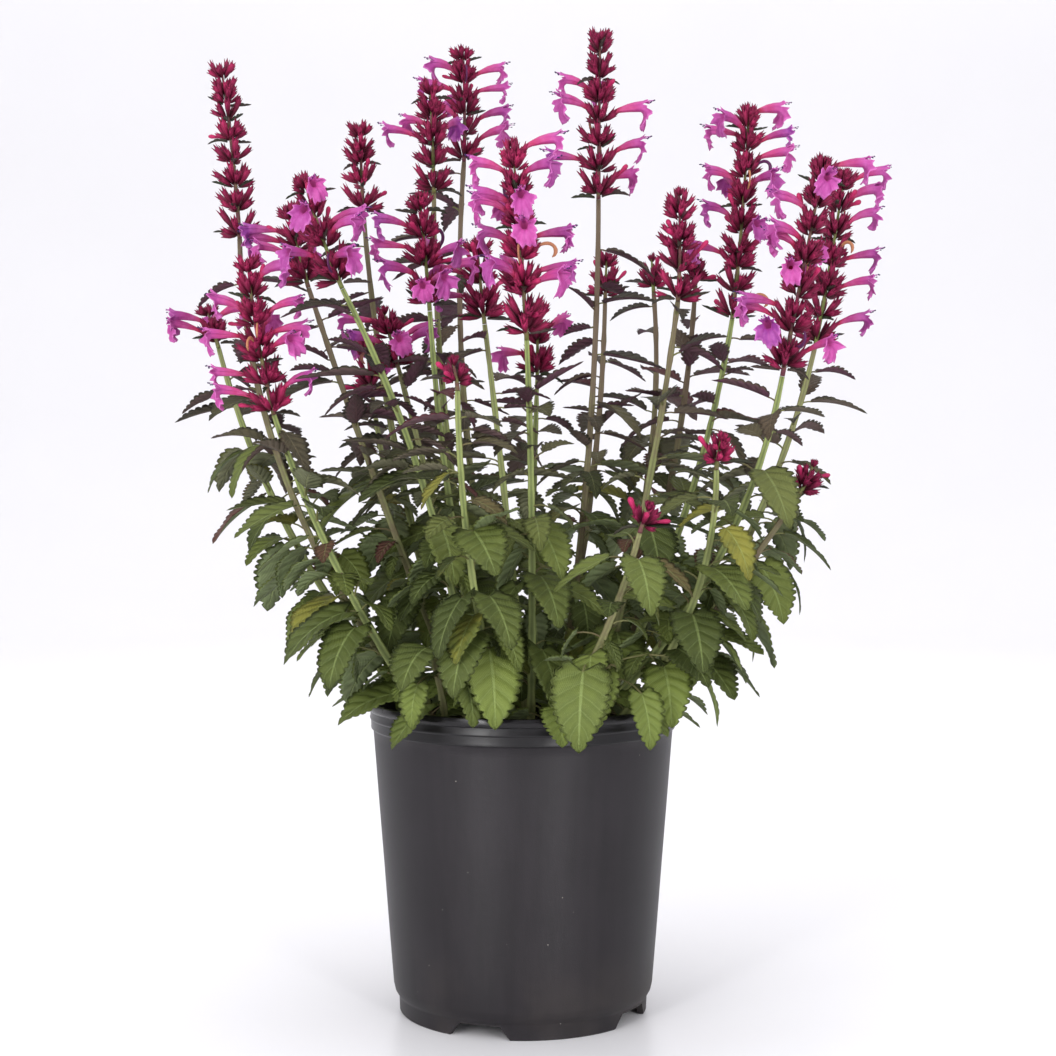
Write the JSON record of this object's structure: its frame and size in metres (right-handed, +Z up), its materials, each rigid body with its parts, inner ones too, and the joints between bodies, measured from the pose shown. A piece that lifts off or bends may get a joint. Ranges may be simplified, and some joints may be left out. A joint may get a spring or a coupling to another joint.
{
  "type": "potted flowering perennial",
  "caption": "Clump of upright leafy stems with spikes of tubular flowers, rooted in potting mix in a round tapered nursery pot.",
  "frame": {"origin": "centre of the pot's foot, on the surface that it stands on", "axes": "+X to the viewer's right, +Y away from the viewer, +Z up"},
  "size_m": [0.393, 0.2658, 0.5298],
  "materials": {
    "pot": "satin, moulded",
    "potting_mix": "loose, dull",
    "foliage": "soft, dull",
    "bloom": "soft, dull"
  },
  "bodies": {
    "root": {"pot": "pot", "potting_mix": "potting_mix", "stem_a": "foliage", "stem_b": "foliage", "stem_c": "foliage", "stem_d": "foliage", "stem_e": "foliage", "stem_f": "foliage", "stem_g": "foliage", "stem_h": "foliage", "stem_i": "foliage", "stem_j": "foliage", "stem_k": "foliage", "stem_l": "foliage", "stem_m": "foliage", "stem_n": "foliage", "stem_o": "foliage", "stem_p": "foliage", "stem_q": "foliage", "stem_r": "foliage", "stem_s": "foliage", "stem_t": "foliage", "stem_u": "foliage", "stem_v": "foliage", "stem_w": "foliage", "stem_x": "foliage", "stem_y": "foliage", "stem_z": "foliage", "shoot_front_left": "foliage", "shoot_front_right": "foliage", "shoot_back_left": "foliage", "shoot_back_right": "foliage", "head_a": "bloom", "head_b": "bloom", "head_c": "bloom", "head_d": "bloom", "head_e": "bloom", "head_f": "bloom", "head_g": "bloom", "head_h": "bloom", "head_i": "bloom", "head_j": "bloom", "head_k": "bloom", "head_l": "bloom", "head_m": "bloom", "head_n": "bloom", "head_o": "bloom", "head_p": "bloom", "head_q": "bloom", "head_r": "bloom", "head_s": "bloom", "head_t": "bloom", "head_u": "bloom", "head_v": "bloom", "head_w": "bloom", "head_x": "bloom", "head_y": "bloom", "head_z": "bloom"}
  },
  "joints": []
}
